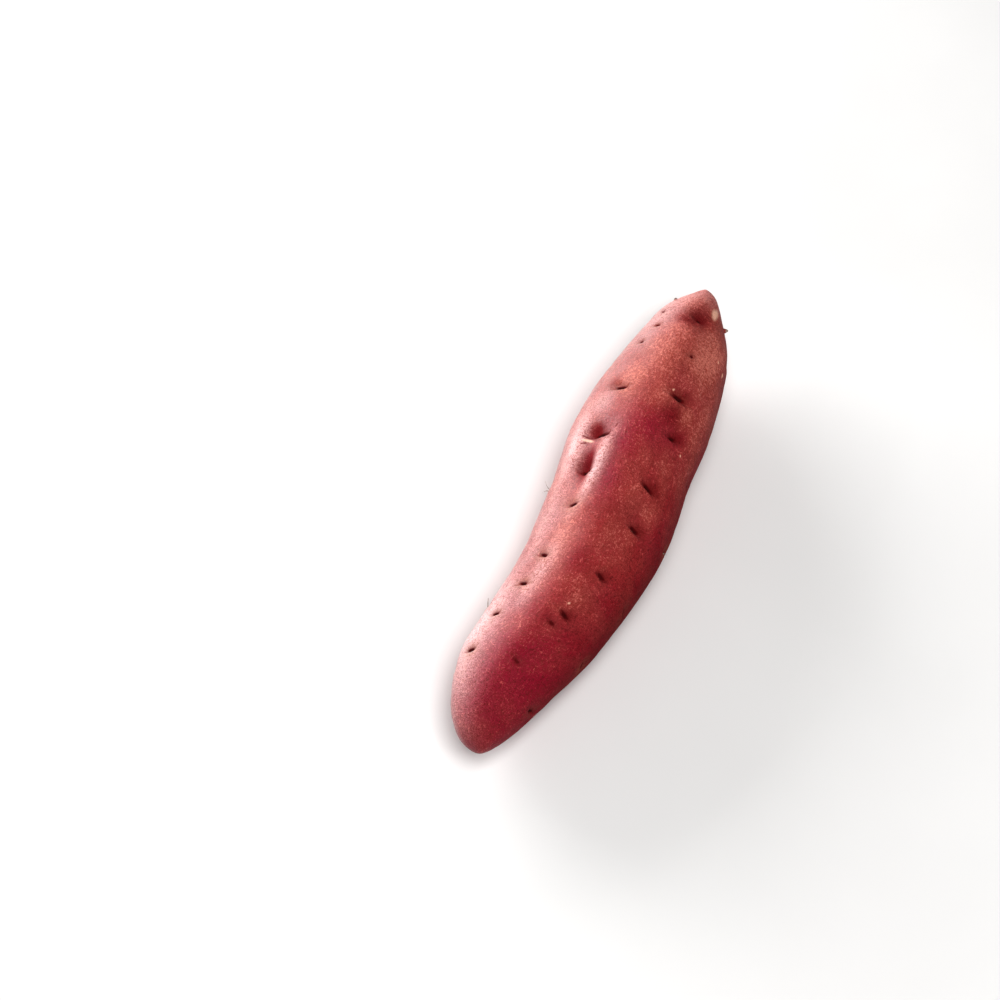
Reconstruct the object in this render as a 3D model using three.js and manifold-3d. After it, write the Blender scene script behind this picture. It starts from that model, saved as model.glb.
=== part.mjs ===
// A sweet potato: one whole root with red-pink skin, lying on the small flat spot under its belly.
// Millimetres. The tail points to -X, the crown to +X, and +Z is up from the resting face at Z = 0.

import * as THREE from "three";
import { mergeVertices } from "three/addons/utils/BufferGeometryUtils.js";
import Module from "manifold-3d";

// Driving dimensions
const LENGTH = 206;
const HEIGHT_SHARE = 0.94; // height of a cross-section over its width
const FLAT_DEPTH = 0.8; // how much of the belly is pressed flat where it rests

// Shape at thirteen stations from tail to crown, fifteen degrees apart on the sphere it grows from:
// [middle line's step to +Y, its rise, girth]. The girth is the half width before the ends round it off.
const STATIONS = [
  [0, -4, 26.5],
  [2.5, -4, 26],
  [3.5, -4, 26],
  [2.5, -3, 26],
  [-2, -2, 24.5],
  [-5.5, -1, 23.5],
  [-5.5, 0, 24.5],
  [-2.5, 0, 25.5],
  [-2.5, 0, 26.5],
  [-2.5, 0, 27],
  [-1, 1, 25.5],
  [-1.5, 2.5, 20],
  [0, 3.5, 15.5],
];

// Six soft ribs run from tail to crown, with the rows of eyes in the grooves between them
const RIBS = 6;
const RIB_SHARE = 0.012; // rib height over the girth
const RIB_ANGLE = 86; // degrees around from +Y over the top

// Eyes, row by row: [distance from the tail, degrees around from +Y over the top]
const EYE_ROWS = [
  [[23, 6], [49, 14], [75, 5], [101, 11], [131, 4], [156, 12], [180, 7]],
  [[29, 42], [44, 45], [58, 54], [70, 57], [92, 62], [106, 60], [122, 66], [143, 61], [168, 49], [178, 52]],
  [[30, 102], [52, 111], [71, 117], [92, 123], [109, 119], [132, 126], [147, 113], [167, 108], [186, 104]],
  [[20, 170], [44, 179], [68, 173], [97, 181], [123, 175], [150, 180], [177, 172]],
  [[34, 233], [61, 240], [86, 234], [113, 239], [140, 231], [166, 238], [188, 234]],
  [[36, 298], [63, 305], [91, 297], [118, 304], [146, 298], [172, 302]],
];
const EYE_RADIUS = 3.4;
const EYE_DEPTH = 0.9;

// A shallow furrow joins three eyes of the upper left row
const FURROW = { along: 104, around: 58, halfLength: 17, halfWidth: 4.5, depth: 1.3 };

// How finely the skin is divided
const STEPS_ALONG = 84;
const STEPS_AROUND = 48;

const SKIN = new THREE.MeshStandardMaterial({ color: 0xa8434c, roughness: 0.6, metalness: 0 });

// One curve carries the middle line and the girth from station to station
const growth = new THREE.CatmullRomCurve3(
  STATIONS.map(([side, rise, girth]) => new THREE.Vector3(side, rise, girth)),
  false,
  "catmullrom",
  0.5,
);

// A smooth dip, one at its middle and nearly nothing two half-sizes away
function dip(alongGap, aroundGap, halfLength, halfWidth) {
  return Math.exp(-((alongGap / halfLength) ** 2) - (aroundGap / halfWidth) ** 2);
}

// Distance over the skin between two angles in degrees, at a radius
function arc(degrees, otherDegrees, radius) {
  const turn = THREE.MathUtils.euclideanModulo(degrees - otherDegrees + 180, 360) - 180;
  return THREE.MathUtils.degToRad(turn) * radius;
}

// How far the eyes and the furrow sink the skin at a place on it
function hollow(along, around, radius) {
  const gap = arc(around, FURROW.around, radius);
  let depth = FURROW.depth * dip(along - FURROW.along, gap, FURROW.halfLength, FURROW.halfWidth);
  for (const [eyeAlong, eyeAround] of EYE_ROWS.flat()) {
    const eyeGap = arc(around, eyeAround, radius);
    depth += EYE_DEPTH * dip(along - eyeAlong, eyeGap, EYE_RADIUS, EYE_RADIUS);
  }
  return depth;
}

// Moves a point of the unit sphere, whose poles lie on the X axis, out to the skin
function growPoint(point) {
  const share = Math.acos(THREE.MathUtils.clamp(-point.x, -1, 1)) / Math.PI;
  const angle = Math.atan2(point.z, point.y);
  const station = growth.getPoint(share);
  const ribs = 1 + RIB_SHARE * Math.cos(RIBS * (angle - THREE.MathUtils.degToRad(RIB_ANGLE)));
  const plainRadius = station.z * Math.hypot(point.y, point.z) * ribs;
  const along = (LENGTH / 2) * (1 + point.x);
  const radius = Math.max(plainRadius - hollow(along, THREE.MathUtils.radToDeg(angle), plainRadius), 0);
  point.x *= LENGTH / 2;
  point.y = station.x + radius * Math.cos(angle);
  point.z = station.y + HEIGHT_SHARE * radius * Math.sin(angle);
}

// The whole root, round all over, with its belly FLAT_DEPTH below the ground
function grownBody() {
  const geometry = new THREE.SphereGeometry(1, STEPS_AROUND, STEPS_ALONG);
  geometry.rotateZ(-Math.PI / 2);
  const position = geometry.attributes.position;
  const point = new THREE.Vector3();
  for (let index = 0; index < position.count; index += 1) {
    point.fromBufferAttribute(position, index);
    growPoint(point);
    position.setXYZ(index, point.x, point.y, point.z);
  }
  geometry.computeBoundingBox();
  const middle = geometry.boundingBox.getCenter(new THREE.Vector3());
  geometry.translate(-middle.x, -middle.y, -geometry.boundingBox.min.z - FLAT_DEPTH);
  return geometry;
}

// A block of ground whose top is the plane Z = 0
function groundBlock() {
  const depth = 10;
  const geometry = new THREE.BoxGeometry(2 * LENGTH, LENGTH, depth);
  geometry.translate(0, 0, -depth / 2);
  return geometry;
}

// Booleans on closed shapes
const wasm = await Module();
wasm.setup();

function toSolid(geometry) {
  geometry.deleteAttribute("normal");
  geometry.deleteAttribute("uv");
  const merged = mergeVertices(geometry, 1e-4);
  return new wasm.Manifold(
    new wasm.Mesh({
      numProp: 3,
      vertProperties: new Float32Array(merged.attributes.position.array),
      triVerts: new Uint32Array(merged.index.array),
    }),
  );
}

function toGeometry(solid) {
  const mesh = solid.getMesh();
  const geometry = new THREE.BufferGeometry();
  geometry.setAttribute("position", new THREE.BufferAttribute(mesh.vertProperties, mesh.numProp));
  geometry.setIndex(new THREE.BufferAttribute(mesh.triVerts, 1));
  geometry.computeVertexNormals();
  return geometry;
}

// The root rests on the flat that the ground presses into its belly
const tuber = new THREE.Mesh(toGeometry(toSolid(grownBody()).subtract(toSolid(groundBlock()))), SKIN);
tuber.name = "tuber";

const sweetPotato = new THREE.Group();
sweetPotato.add(tuber);

export default sweetPotato;
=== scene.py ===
"""A whole raw sweet potato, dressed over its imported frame, on a pale floor in soft studio light.

The root's sizes are millimetres and degrees, and MM turns them into Blender's metres. The studio's sizes
are metres and degrees. "Along" is the distance from the tail tip towards the crown. "Around" is the angle
about the root, from +Y at 0 over the top at 90 to -Y at 180 and the belly at 270.
"""

import logging
import math
import random
from dataclasses import dataclass, field
from enum import Enum

import bpy
import numpy as np
from mathutils import Color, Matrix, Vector, noise


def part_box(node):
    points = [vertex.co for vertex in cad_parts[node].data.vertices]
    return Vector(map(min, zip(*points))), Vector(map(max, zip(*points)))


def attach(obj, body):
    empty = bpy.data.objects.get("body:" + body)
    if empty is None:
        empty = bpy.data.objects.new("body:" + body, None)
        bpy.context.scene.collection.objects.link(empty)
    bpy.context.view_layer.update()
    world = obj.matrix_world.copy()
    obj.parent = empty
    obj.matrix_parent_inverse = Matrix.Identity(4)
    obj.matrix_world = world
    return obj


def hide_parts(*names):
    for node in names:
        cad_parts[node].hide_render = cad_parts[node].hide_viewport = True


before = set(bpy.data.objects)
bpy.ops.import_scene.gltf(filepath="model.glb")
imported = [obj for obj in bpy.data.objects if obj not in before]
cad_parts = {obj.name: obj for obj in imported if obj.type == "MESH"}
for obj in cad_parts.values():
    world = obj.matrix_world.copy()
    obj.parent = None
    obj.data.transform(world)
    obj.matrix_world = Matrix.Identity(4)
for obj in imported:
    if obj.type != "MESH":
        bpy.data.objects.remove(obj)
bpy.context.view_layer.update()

log = logging.getLogger("sweet_potato")

MM = 0.001
TUBER_NODE = "tuber"
BODY = "root"
STRAIGHT_PLACE = "straight_mm"
BAKE_MAP = "OFBake"
SEED = 41

# A place is its along and around, a spot adds its reach, and Where is the along, around and radius of many
Colour = tuple[float, float, float]
Axes = tuple[float, float, float]
Span = tuple[float, float]
Place = tuple[float, float]
Spot = tuple[float, float, float]
Where = tuple[np.ndarray, ...]


def from_srgb(red: int, green: int, blue: int) -> Colour:
    """Turns a screen colour, each part of it from 0 to 255, into a linear one."""
    return tuple(Color((red / 255, green / 255, blue / 255)).from_srgb_to_scene_linear())


def soft_spot(up: np.ndarray, half_length: float, over: np.ndarray, half_width: float) -> np.ndarray:
    """Gives a soft spot that is one at its middle and fades past its half sizes.

    Args:
        up: Distance of each point from its middle along the root.
        half_length: Its half size along the root.
        over: Distance of each point from its middle round the root.
        half_width: Its half size round the root.

    Returns:
        The strength of the spot at each point.
    """
    return np.exp(-((up / half_length) ** 2) - (over / half_width) ** 2)


# The root's plain form


@dataclass(frozen=True)
class RootForm:
    """The plain root: a sphere drawn out along a bent middle line, at thirteen even stations of it.

    The side steps, rises and girths are in millimetres, from the tail to the crown.
    """

    length: float
    height_share: float = 0.94
    flat_depth: float = 0.8
    ribs: int = 6
    rib_share: float = 0.012
    rib_angle: float = 86.0
    side: tuple[float, ...] = (0, 2.5, 3.5, 2.5, -2, -5.5, -5.5, -2.5, -2.5, -2.5, -1, -1.5, 0)
    rise: tuple[float, ...] = (-4, -4, -4, -3, -2, -1, 0, 0, 0, 0, 1, 2.5, 3.5)
    girth: tuple[float, ...] = (26.5, 26, 26, 26, 24.5, 23.5, 24.5, 25.5, 26.5, 27, 25.5, 20, 15.5)

    def carried(self, values: tuple[float, ...], share: np.ndarray) -> np.ndarray:
        """Carries a station value smoothly along the root.

        Args:
            values: One value for each station.
            share: How far along the sphere's half turn each point is, from 0 to 1.

        Returns:
            The value at each point, on a Catmull-Rom curve.
        """
        spans = len(values) - 1
        knots = np.array([2 * values[0] - values[1], *values, 2 * values[-1] - values[-2]], float)
        place = np.clip(share, 0, 1) * spans
        index = np.minimum(place.astype(int), spans - 1)
        t = place - index
        before, start, end, after = (knots[index + step] for step in range(4))
        bend = 2 * before - 5 * start + 4 * end - after
        twist = 3 * start - before - 3 * end + after
        return 0.5 * (2 * start + (end - before) * t + bend * t**2 + twist * t**3)

    def share_at(self, along: np.ndarray) -> np.ndarray:
        """Gives the share of the sphere's half turn at each distance from the tail."""
        return np.arccos(np.clip(1 - 2 * along / self.length, -1, 1)) / math.pi

    def radius(self, share: np.ndarray, around: np.ndarray) -> np.ndarray:
        """Gives the distance from the middle line to the plain skin.

        Args:
            share: Share of the half turn from tail to crown.
            around: Degrees around the root.

        Returns:
            The radius at each point, before the section is pressed a little flatter.
        """
        ribs = 1 + self.rib_share * np.cos(self.ribs * np.radians(around - self.rib_angle))
        return self.carried(self.girth, share) * np.sin(math.pi * share) * ribs

    def points(self, share: np.ndarray, around: np.ndarray) -> np.ndarray:
        """Places points on the plain skin.

        Args:
            share: Share of the half turn from tail to crown.
            around: Degrees around the root.

        Returns:
            One row of x, y and z for each point, with the root still round under its belly.
        """
        radius = self.radius(share, around)
        x = -np.cos(math.pi * share) * self.length / 2
        y = self.carried(self.side, share) + radius * np.cos(np.radians(around))
        z = self.carried(self.rise, share) + self.height_share * radius * np.sin(np.radians(around))
        return np.stack([x, y, z], axis=1)

    def straightened(self, share: np.ndarray, around: np.ndarray) -> np.ndarray:
        """Places the same points on a root whose middle line is straight, where textures are laid out.

        Args:
            share: Share of the half turn from tail to crown.
            around: Degrees around the root.

        Returns:
            One row of x, y and z for each point.
        """
        radius = self.radius(share, around)
        along = (1 - np.cos(math.pi * share)) * self.length / 2
        angle = np.radians(around)
        return np.stack([along, radius * np.cos(angle), radius * np.sin(angle)], axis=1)


# Marks on the skin


class Tone(Enum):
    """A colour that the skin drifts to in places. The pale pink-white one is painted highlight, and the
    maroon one also paints shade in hollows and beside eyes.
    """

    MAGENTA = "tone_magenta"
    TAN = "tone_tan"
    # Painted highlight: pale pink-white on the lit left flank, the ridge and the tail's left edge
    BLOOM = "tone_bloom"
    # Maroon tone, which the blushes also use to paint shade in hollows and beside eyes
    MAROON_AND_SHADE = "tone_maroon"


class Healed(Enum):
    """What a scar has healed to."""

    CORK = "scar_cork"
    WOOD = "scar_wood"


class Mark(Enum):
    """What the eyes, folds and stubs leave on the skin besides their shape; the fold shade is painted shade
    in folds, creases and eye hollows.
    """

    EYE_DARK = "eye_dark"
    FOLD_SHADE = "fold_shade"
    DRY_HALO = "dry_halo"
    STUB = "stub"


Masks = dict[Tone | Healed | Mark, np.ndarray]


@dataclass(frozen=True)
class Eye:
    """A root scar: a small hollow on the crown side of a slit, with a lip below it and folds beside it."""

    along: float
    around: float
    width: float
    depth: float
    slit: float
    tilt: float
    folds: int
    halo: float
    dark: float = 1.0


@dataclass(frozen=True)
class EyeRow:
    """A row of eyes that carries on round the root, each as wide, deep and long as its vigour makes it."""

    strength: float
    places: tuple[Place, ...]
    vigour: Span = (0.6, 1.0)
    least_width: float = 2.2
    wider: float = 1.2
    least_depth: float = 0.3
    deeper: float = 0.6
    least_slit: float = 1.0
    tilt: float = 22.0
    folds: tuple[int, int] = (2, 5)
    halo: Span = (0.2, 0.8)

    def grown(self, draw: random.Random) -> list[Eye]:
        """Grows the eyes of the row, no two quite alike.

        Args:
            draw: The seeded source of their differences.

        Returns:
            The eyes from tail to crown.
        """
        eyes = []
        for along, around in self.places:
            vigour = draw.uniform(*self.vigour)
            eyes.append(
                Eye(
                    along,
                    around,
                    width=self.least_width + self.wider * vigour,
                    depth=self.strength * (self.least_depth + self.deeper * vigour),
                    slit=self.least_slit + vigour,
                    tilt=draw.uniform(-self.tilt, self.tilt),
                    folds=draw.randint(*self.folds),
                    halo=draw.uniform(*self.halo),
                )
            )
        return eyes


@dataclass(frozen=True)
class Swell:
    """A broad rise of the skin, or a dip where its height is below zero."""

    along: float
    around: float
    half_length: float
    half_width: float
    height: float
    turn: float = 0.0


@dataclass(frozen=True)
class Crease:
    """A fine, nearly straight fold of the skin between two places on it."""

    start: Place
    end: Place
    width: float
    depth: float
    shade: float


@dataclass(frozen=True)
class Scar:
    """A healed scrape, dry and pale."""

    along: float
    around: float
    half_length: float
    half_width: float
    kind: Healed
    turn: float = 0.0
    height: float = 0.05


@dataclass(frozen=True)
class Blush:
    """A soft patch of another skin tone; the pale pink-white patches are painted highlight, and most maroon
    ones are painted shade.
    """

    along: float
    around: float
    half_length: float
    half_width: float
    tone: Tone
    strength: float
    turn: float = 0.0


@dataclass(frozen=True)
class Stub:
    """The dry end of a root that broke off, standing a little proud of the skin."""

    along: float
    around: float
    half_width: float
    height: float


@dataclass(frozen=True)
class Sprout:
    """A fine root hair that bends as it grows, towards the crown where its lean is above zero."""

    along: float
    around: float
    length: float
    lean: float
    rings: int


# Rows of eyes from tail to crown. The upper two rows are seen from above, the others carry on round.
UPPER_LEFT_EYES = (
    Eye(29, 42, width=2.8, depth=0.6, slit=1.8, tilt=18, folds=3, halo=0.9),
    Eye(44.5, 45, width=2.6, depth=0.6, slit=1.4, tilt=21, folds=3, halo=0.7),
    Eye(58, 54, width=2.8, depth=0.7, slit=1.7, tilt=6, folds=3, halo=0.8),
    Eye(70.5, 57, width=2.8, depth=0.7, slit=1.6, tilt=0, folds=3, halo=0.8),
    Eye(92, 62, width=3.2, depth=0.8, slit=1.7, tilt=19, folds=4, halo=0.8),
    Eye(106.2, 59, width=4.6, depth=0.8, slit=2.4, tilt=6, folds=4, halo=0.0, dark=1.5),
    Eye(121.7, 63, width=4.4, depth=1.4, slit=2.8, tilt=12, folds=5, halo=0.0, dark=1.25),
    Eye(143.6, 60.5, width=3.6, depth=1.1, slit=2.1, tilt=14, folds=5, halo=0.5),
    Eye(168, 48, width=2.0, depth=0.3, slit=0.9, tilt=20, folds=1, halo=0.3),
    Eye(177.5, 52, width=2.2, depth=0.45, slit=1.1, tilt=7, folds=2, halo=0.5),
    Eye(186, 42, width=1.4, depth=0.2, slit=0.6, tilt=0, folds=0, halo=0.2),
)
UPPER_RIGHT_EYES = (
    Eye(30, 102, width=2.6, depth=0.35, slit=1.5, tilt=-18, folds=3, halo=0.1, dark=0.45),
    Eye(47.4, 105.5, width=2.4, depth=0.45, slit=1.7, tilt=-14, folds=2, halo=0.1, dark=0.55),
    Eye(52, 111, width=2.5, depth=0.75, slit=2.4, tilt=-22, folds=4, halo=0.1, dark=0.8),
    Eye(70.8, 117.5, width=2.6, depth=0.75, slit=2.1, tilt=-20, folds=4, halo=0.1, dark=0.85),
    Eye(92, 123, width=3.4, depth=0.9, slit=2.1, tilt=-14, folds=5, halo=0.1, dark=0.95),
    Eye(108.8, 119, width=3.6, depth=1.0, slit=2.5, tilt=-20, folds=5, halo=0.1, dark=0.95),
    Eye(132, 126, width=3.2, depth=0.9, slit=1.6, tilt=5, folds=2, halo=0.1),
    Eye(147.5, 114, width=3.6, depth=1.2, slit=2.7, tilt=-6, folds=4, halo=0.3),
    Eye(167.3, 108.5, width=1.8, depth=0.35, slit=0.7, tilt=0, folds=1, halo=0.2),
    Eye(186, 104, width=3.6, depth=1.0, slit=1.1, tilt=0, folds=3, halo=0.0),
)
OTHER_EYE_ROWS = (
    EyeRow(0.45, ((23, 6), (49, 14), (75, 5), (101, 11), (131, 4), (156, 12), (180, 7))),
    EyeRow(1.0, ((20, 170), (44, 179), (68, 173), (97, 181), (123, 175), (150, 180), (177, 172))),
    EyeRow(1.0, ((34, 233), (61, 240), (86, 234), (113, 239), (140, 231), (166, 238), (188, 234))),
    EyeRow(1.0, ((36, 298), (63, 305), (91, 297), (118, 304), (146, 298), (172, 302))),
)

SWELLS = (
    Swell(104, 57, 17, 4.0, -1.3),
    Swell(110, 55, 6, 2.9, -2.0),
    Swell(124.5, 54.5, 4.2, 3.4, -1.4),
    Swell(114, 42, 11, 3.0, 0.5),
    Swell(111, 71, 14, 3.2, 1.5, turn=-6),
    Swell(92, 71, 8, 3.4, 0.4, turn=-6),
    Swell(133, 60, 5, 5.0, 0.5),
    Swell(147, 57, 4, 4.0, -0.3),
    Swell(150, 70, 5, 4.0, 0.4),
    Swell(143, 106, 6, 4.5, 0.6),
    Swell(152, 122, 6, 5.0, 0.5),
    Swell(127, 121, 4, 4.5, 0.45),
    Swell(104, 113, 5, 5.0, 0.45),
    Swell(114, 127, 7, 5.0, 0.4),
    Swell(85, 98, 12, 8.0, 0.5),
    Swell(88, 118, 4, 4.0, 0.35),
    Swell(66, 112, 4, 4.0, 0.35),
    Swell(55, 96, 12, 6.0, 0.35),
    Swell(187, 106, 4.5, 5.0, -1.0),
    Swell(184, 89, 3, 5.5, -0.5),
    Swell(180, 88, 6, 6.0, 0.4),
    Swell(196, 92, 4, 6.0, 0.4),
    Swell(172, 66, 6, 5.0, 0.35),
    Swell(162, 92, 8, 6.0, 0.4),
)

CREASES = (
    Crease((121.6, 67.5), (126, 74), width=0.4, depth=0.6, shade=1.0),
    Crease((126, 74), (129, 78), width=0.26, depth=0.3, shade=0.5),
    Crease((121, 44), (120.6, 60), width=0.36, depth=0.45, shade=1.0),
    Crease((117.9, 45), (118, 55), width=0.3, depth=0.3, shade=0.8),
    Crease((147, 121), (148.4, 132), width=0.35, depth=0.45, shade=0.6),
    Crease((149.5, 112), (150.3, 117), width=0.3, depth=0.3, shade=0.4),
    Crease((133.5, 121), (134.8, 128), width=0.6, depth=0.3, shade=0.4),
    Crease((144.5, 65), (148, 67.5), width=0.3, depth=0.35, shade=0.6),
    Crease((146.5, 57), (149.5, 58), width=0.3, depth=0.25, shade=0.4),
    Crease((107, 65), (110, 67), width=0.3, depth=0.3, shade=0.4),
)

SCARS = (
    Scar(194.2, 131.5, 3.2, 1.3, Healed.CORK, turn=-12, height=-0.15),
    Scar(119.3, 51.5, 0.6, 2.4, Healed.WOOD, turn=-2, height=0.25),
    Scar(171, 155, 0.9, 0.6, Healed.CORK),
    Scar(173.5, 141, 0.5, 0.35, Healed.CORK),
    Scar(150.5, 106.5, 0.5, 0.35, Healed.CORK),
    Scar(129, 139, 0.45, 0.35, Healed.CORK),
    Scar(57, 107.5, 0.4, 0.4, Healed.CORK),
    Scar(62, 250, 1.6, 1.0, Healed.CORK, turn=20, height=-0.1),
    Scar(133, 212, 0.7, 2.4, Healed.WOOD, turn=8),
    Scar(84, 330, 1.2, 0.8, Healed.CORK, turn=40, height=-0.1),
)

BLUSHES = (
    Blush(141, 118, 5, 5, Tone.MAROON_AND_SHADE, 0.7),
    Blush(131, 95, 8, 10, Tone.MAGENTA, 1.0),
    Blush(122, 85, 7, 7, Tone.MAGENTA, 1.0),
    Blush(107, 84, 10, 5, Tone.MAGENTA, 0.95),
    Blush(111, 56, 7.5, 3.6, Tone.MAGENTA, 1.0),
    # Painted shade: maroon in the hollows above the upper left eyes
    Blush(110, 57, 6.5, 3.2, Tone.MAROON_AND_SHADE, 1.0),
    Blush(124.3, 56, 3.6, 3.8, Tone.MAROON_AND_SHADE, 1.0),
    Blush(146, 55, 3, 4.0, Tone.MAROON_AND_SHADE, 0.5),
    Blush(155, 120, 9, 7, Tone.MAGENTA, 0.7),
    Blush(133, 122, 6, 6, Tone.MAGENTA, 0.8),
    Blush(166, 124, 6, 6, Tone.MAGENTA, 0.5),
    # Painted shade: maroon in the two hollows at the crown
    Blush(187.5, 105, 5, 6, Tone.MAROON_AND_SHADE, 1.0),
    Blush(184, 90, 3.2, 5.5, Tone.MAROON_AND_SHADE, 0.8),
    Blush(198, 100, 6, 6, Tone.MAGENTA, 0.8),
    Blush(193.5, 126, 4.5, 2.6, Tone.TAN, 0.9),
    Blush(96, 100, 8, 7, Tone.MAROON_AND_SHADE, 0.3),
    Blush(26, 90, 22, 26, Tone.MAGENTA, 0.9),
    Blush(18, 250, 24, 30, Tone.MAGENTA, 0.7),
    Blush(165, 80, 26, 12, Tone.TAN, 0.65),
    Blush(150, 66, 12, 9, Tone.TAN, 0.8),
    Blush(146, 98, 8, 6, Tone.TAN, 0.5),
    Blush(143, 128, 6, 4, Tone.TAN, 0.8),
    Blush(197, 60, 12, 14, Tone.TAN, 0.9),
    Blush(100, 126, 9, 6, Tone.TAN, 0.35),
    Blush(118, 128, 9, 6, Tone.TAN, 0.35),
    Blush(78, 66, 26, 6, Tone.TAN, 0.7),
    Blush(110, 36, 70, 8, Tone.TAN, 0.6),
    Blush(96, 108, 26, 9, Tone.TAN, 0.35),
    Blush(62, 104, 14, 7, Tone.TAN, 0.35),
    Blush(150, 150, 30, 7, Tone.TAN, 0.5),
    Blush(70, 186, 52, 16, Tone.MAROON_AND_SHADE, 0.75),
    Blush(120, 260, 26, 14, Tone.TAN, 0.7),
    Blush(150, 330, 22, 14, Tone.MAGENTA, 0.5),
    Blush(80, 340, 30, 10, Tone.TAN, 0.5),
    # Painted highlight: pale pink-white along the lit left flank, the ridge, the tail's left edge and the
    # crown's left side
    Blush(109, 70.5, 15, 2.6, Tone.BLOOM, 1.0, turn=-6),
    Blush(118, 39, 16, 4.5, Tone.BLOOM, 0.9),
    Blush(136, 50, 6, 5.0, Tone.BLOOM, 0.45),
    Blush(84, 40, 24, 5.0, Tone.BLOOM, 0.45),
    Blush(62, 64, 16, 4.0, Tone.BLOOM, 0.55),
    Blush(38, 33, 26, 8.2, Tone.BLOOM, 1.0),
    Blush(188, 44, 20, 8.0, Tone.BLOOM, 0.55),
    # Painted shade: maroon beside each upper right eye
    Blush(149.8, 118, 2.6, 3.4, Tone.MAROON_AND_SHADE, 0.7),
    Blush(134, 130, 2.6, 3.2, Tone.MAROON_AND_SHADE, 0.7),
    Blush(110.6, 124, 2.4, 3.4, Tone.MAROON_AND_SHADE, 0.75),
    Blush(93.8, 128, 2.2, 3.0, Tone.MAROON_AND_SHADE, 0.7),
    Blush(72.4, 121.5, 2.0, 2.8, Tone.MAROON_AND_SHADE, 0.6),
    Blush(53.6, 115, 2.0, 2.8, Tone.MAROON_AND_SHADE, 0.6),
    Blush(172, 126, 20, 9.5, Tone.TAN, 1.0),
    Blush(196, 116, 7, 6.0, Tone.TAN, 0.6),
)

SPROUTS = (
    Sprout(101.5, 11, 3.2, lean=1.1, rings=7),
    Sprout(100.3, 12.5, 2.2, lean=-0.9, rings=6),
    Sprout(49, 14, 2.4, lean=0.9, rings=6),
    Sprout(97, 181, 3.0, lean=-0.8, rings=6),
    Sprout(61, 240, 4.0, lean=1.2, rings=7),
    Sprout(140, 231, 2.6, lean=-1.0, rings=6),
    Sprout(118, 304, 3.4, lean=0.8, rings=6),
)

STUBS = (
    Stub(191.8, 166.5, 0.7, 1.6),
    Stub(194.5, 37.5, 0.6, 0.8),
    Stub(92, 122, 0.3, 0.35),
    Stub(70.5, 57, 0.3, 0.3),
    Stub(113, 239, 0.6, 0.7),
    Stub(63, 305, 0.5, 0.6),
)


@dataclass(frozen=True)
class EyeShape:
    """How every eye is built up around its slit.

    A rise is how far a part lies from the slit towards the crown, in millimetres except for the halo's,
    which is a share of the eye's width. The hollow's and halo's pairs are a half length and a half width as
    shares of the eye's width, the pit's are shares of its slit, and so are the single widths. A depth share,
    the wall's lean and its sink are shares of the eye's depth.
    """

    curl: float = 0.1
    least_slit: float = 0.6
    brim_rise: float = -0.3
    brim_softness: float = 0.4
    hollow_shares: Span = (1.05, 1.1)
    slit_rise: float = 0.3
    slit_thickness: float = 0.45
    slit_depth: float = 0.3
    slit_depth_share: float = 0.5
    pit_rise: float = 0.55
    pit_shares: Span = (0.23, 0.5)
    pit_depth_share: float = 0.5
    lip_rise: float = -1.2
    lip_thickness: float = 0.9
    lip_width: float = 1.3
    lip_depth_share: float = 0.3
    halo_rise: float = 0.2
    halo_shares: Span = (0.95, 1.1875)
    wall_rise: float = 0.3
    wall_lean: float = 0.5
    wall_sink: float = 0.6
    wall_thickness: float = 0.12
    wall_growth: float = 0.034
    wall_width: float = 0.75
    wall_dark: float = 0.9
    pit_dark: float = 0.5
    bruise_rise: float = 0.8
    bruise_length: float = 0.95
    bruise_width: float = 1.2
    bruise_dark: float = 0.42
    hollow_shade: float = 0.65


@dataclass(frozen=True)
class FoldShape:
    """How the fine folds fan out from the two ends of an eye's slit."""

    angles: Span = (-15, 50)
    reaches: Span = (0.8, 1.6)
    starts: Span = (0.3, 0.9)
    sway: float = 0.1
    beat: float = 1.9
    onset: float = 0.4
    fading: float = 0.7
    thickness: float = 0.28
    depth: float = 0.22
    shade: float = 0.8


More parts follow.
